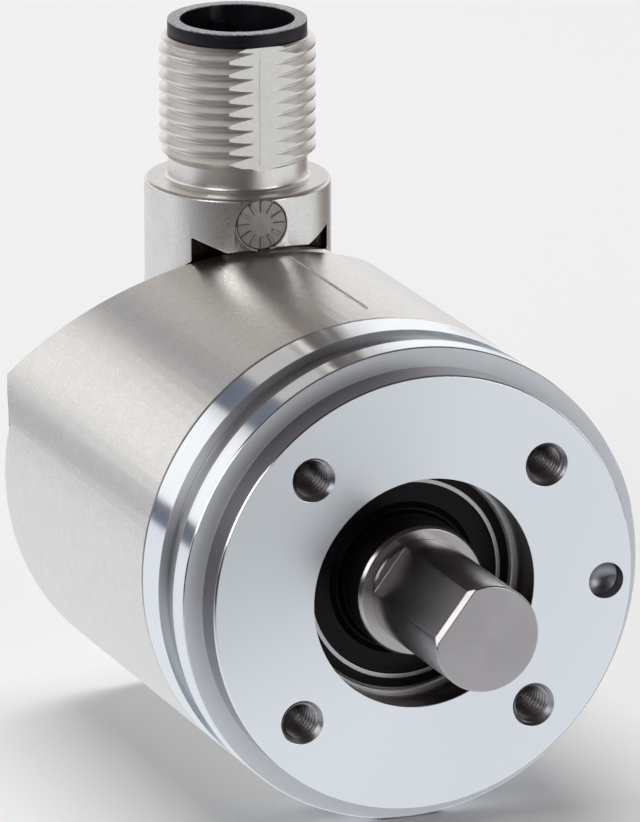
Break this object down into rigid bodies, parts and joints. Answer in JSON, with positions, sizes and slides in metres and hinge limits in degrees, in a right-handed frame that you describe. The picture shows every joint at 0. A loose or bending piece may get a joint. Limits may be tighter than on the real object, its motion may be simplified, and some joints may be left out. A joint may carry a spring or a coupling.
{
  "type": "absolute rotary encoder",
  "caption": "Absolute rotary encoder with a synchro flange, flatted solid shaft on ball bearings, slanted rear housing and a swivelling round plug connector.",
  "frame": {"origin": "centre of the flange's front face, on the shaft axis", "axes": "-Y along the shaft towards its free end, +Z towards the connector at rest, +X to the right seen from the shaft end"},
  "size_m": [0.036, 0.0558, 0.0527],
  "materials": {
    "aluminium": "turned and faced, fine concentric tool marks",
    "nickel_zinc": "satin nickel plate over a die casting",
    "stainless": "ground",
    "bearing_steel": "ground and lapped",
    "spring_steel": "dark hardened spring steel",
    "seal_rubber": "smooth black nitrile rubber",
    "black_plastic": "moulded black glass-filled nylon",
    "gear_plastic": "moulded natural acetal",
    "cage_plastic": "moulded brown nylon",
    "brass": "turned brass",
    "gold_plate": "gold plated contact alloy",
    "magnet": "nickel plated sintered magnet",
    "circuit_board": "green solder mask on glass epoxy",
    "chip_plastic": "black chip mould compound"
  },
  "bodies": {
    "base": {"servo_flange": "aluminium", "flange_seal": "seal_rubber", "rear_housing": "nickel_zinc", "shaft_seal": "seal_rubber", "shaft_seal_case": "stainless", "garter_spring": "spring_steel", "preload_spring": "spring_steel", "bore_retaining_ring": "spring_steel", "front_bearing_outer_ring": "bearing_steel", "front_bearing_shields": "stainless", "rear_bearing_outer_ring": "bearing_steel", "rear_bearing_shields": "stainless", "gear_carrier": "black_plastic", "gear_pins": "stainless", "front_spacers": "brass", "middle_spacers": "brass", "rear_spacers": "brass", "stack_screws": "stainless", "sensor_board": "circuit_board", "sensor_chips": "chip_plastic", "main_board": "circuit_board", "main_board_chips": "chip_plastic", "board_link": "black_plastic", "wire_socket": "black_plastic", "swivel_washer": "spring_steel"},
    "shaft": {"encoder_shaft": "stainless", "front_bearing_inner_ring": "bearing_steel", "rear_bearing_inner_ring": "bearing_steel", "bearing_spacer": "aluminium", "shaft_retaining_ring": "spring_steel", "drive_pinion": "brass", "magnet_holder": "brass", "sensing_magnet": "magnet"},
    "front_ball_cage": {"front_bearing_cage": "cage_plastic", "front_bearing_balls": "bearing_steel"},
    "rear_ball_cage": {"rear_bearing_cage": "cage_plastic", "rear_bearing_balls": "bearing_steel"},
    "counter_1": {"counter_gear_1": "gear_plastic", "counter_magnet_1": "magnet"},
    "counter_2": {"counter_gear_2": "gear_plastic", "counter_magnet_2": "magnet"},
    "connector": {"connector_body": "nickel_zinc", "contact_insert": "black_plastic", "contact_pins": "gold_plate", "swivel_seal": "seal_rubber", "swivel_clip": "spring_steel"}
  },
  "joints": [
    {"name": "shaft_spin", "type": "hinge", "parent": "base", "child": "shaft", "pos_m": [0, 0, 0], "axis": [0, 1, 0], "continuous": true},
    {"name": "front_cage_spin", "type": "hinge", "parent": "base", "child": "front_ball_cage", "pos_m": [0, 0.0111, 0], "axis": [0, 1, 0], "continuous": true},
    {"name": "rear_cage_spin", "type": "hinge", "parent": "base", "child": "rear_ball_cage", "pos_m": [0, 0.0201, 0], "axis": [0, 1, 0], "continuous": true},
    {"name": "counter_1_spin", "type": "hinge", "parent": "base", "child": "counter_1", "pos_m": [0.00622, 0.0285, -0.00622], "axis": [0, 1, 0], "continuous": true},
    {"name": "counter_2_spin", "type": "hinge", "parent": "base", "child": "counter_2", "pos_m": [-0.00636, 0.0285, -0.00636], "axis": [0, 1, 0], "continuous": true},
    {"name": "connector_swivel", "type": "hinge", "parent": "base", "child": "connector", "pos_m": [0, 0.03697, 0.01283], "axis": [0, 0.7071, 0.7071], "range_deg": [0, 180]}
  ],
  "couplings": [
    {"joint": "front_cage_spin", "follows": "shaft_spin", "ratio": 0.41724},
    {"joint": "rear_cage_spin", "follows": "shaft_spin", "ratio": 0.41724},
    {"joint": "counter_1_spin", "follows": "shaft_spin", "ratio": -0.83333},
    {"joint": "counter_2_spin", "follows": "shaft_spin", "ratio": -0.8}
  ]
}
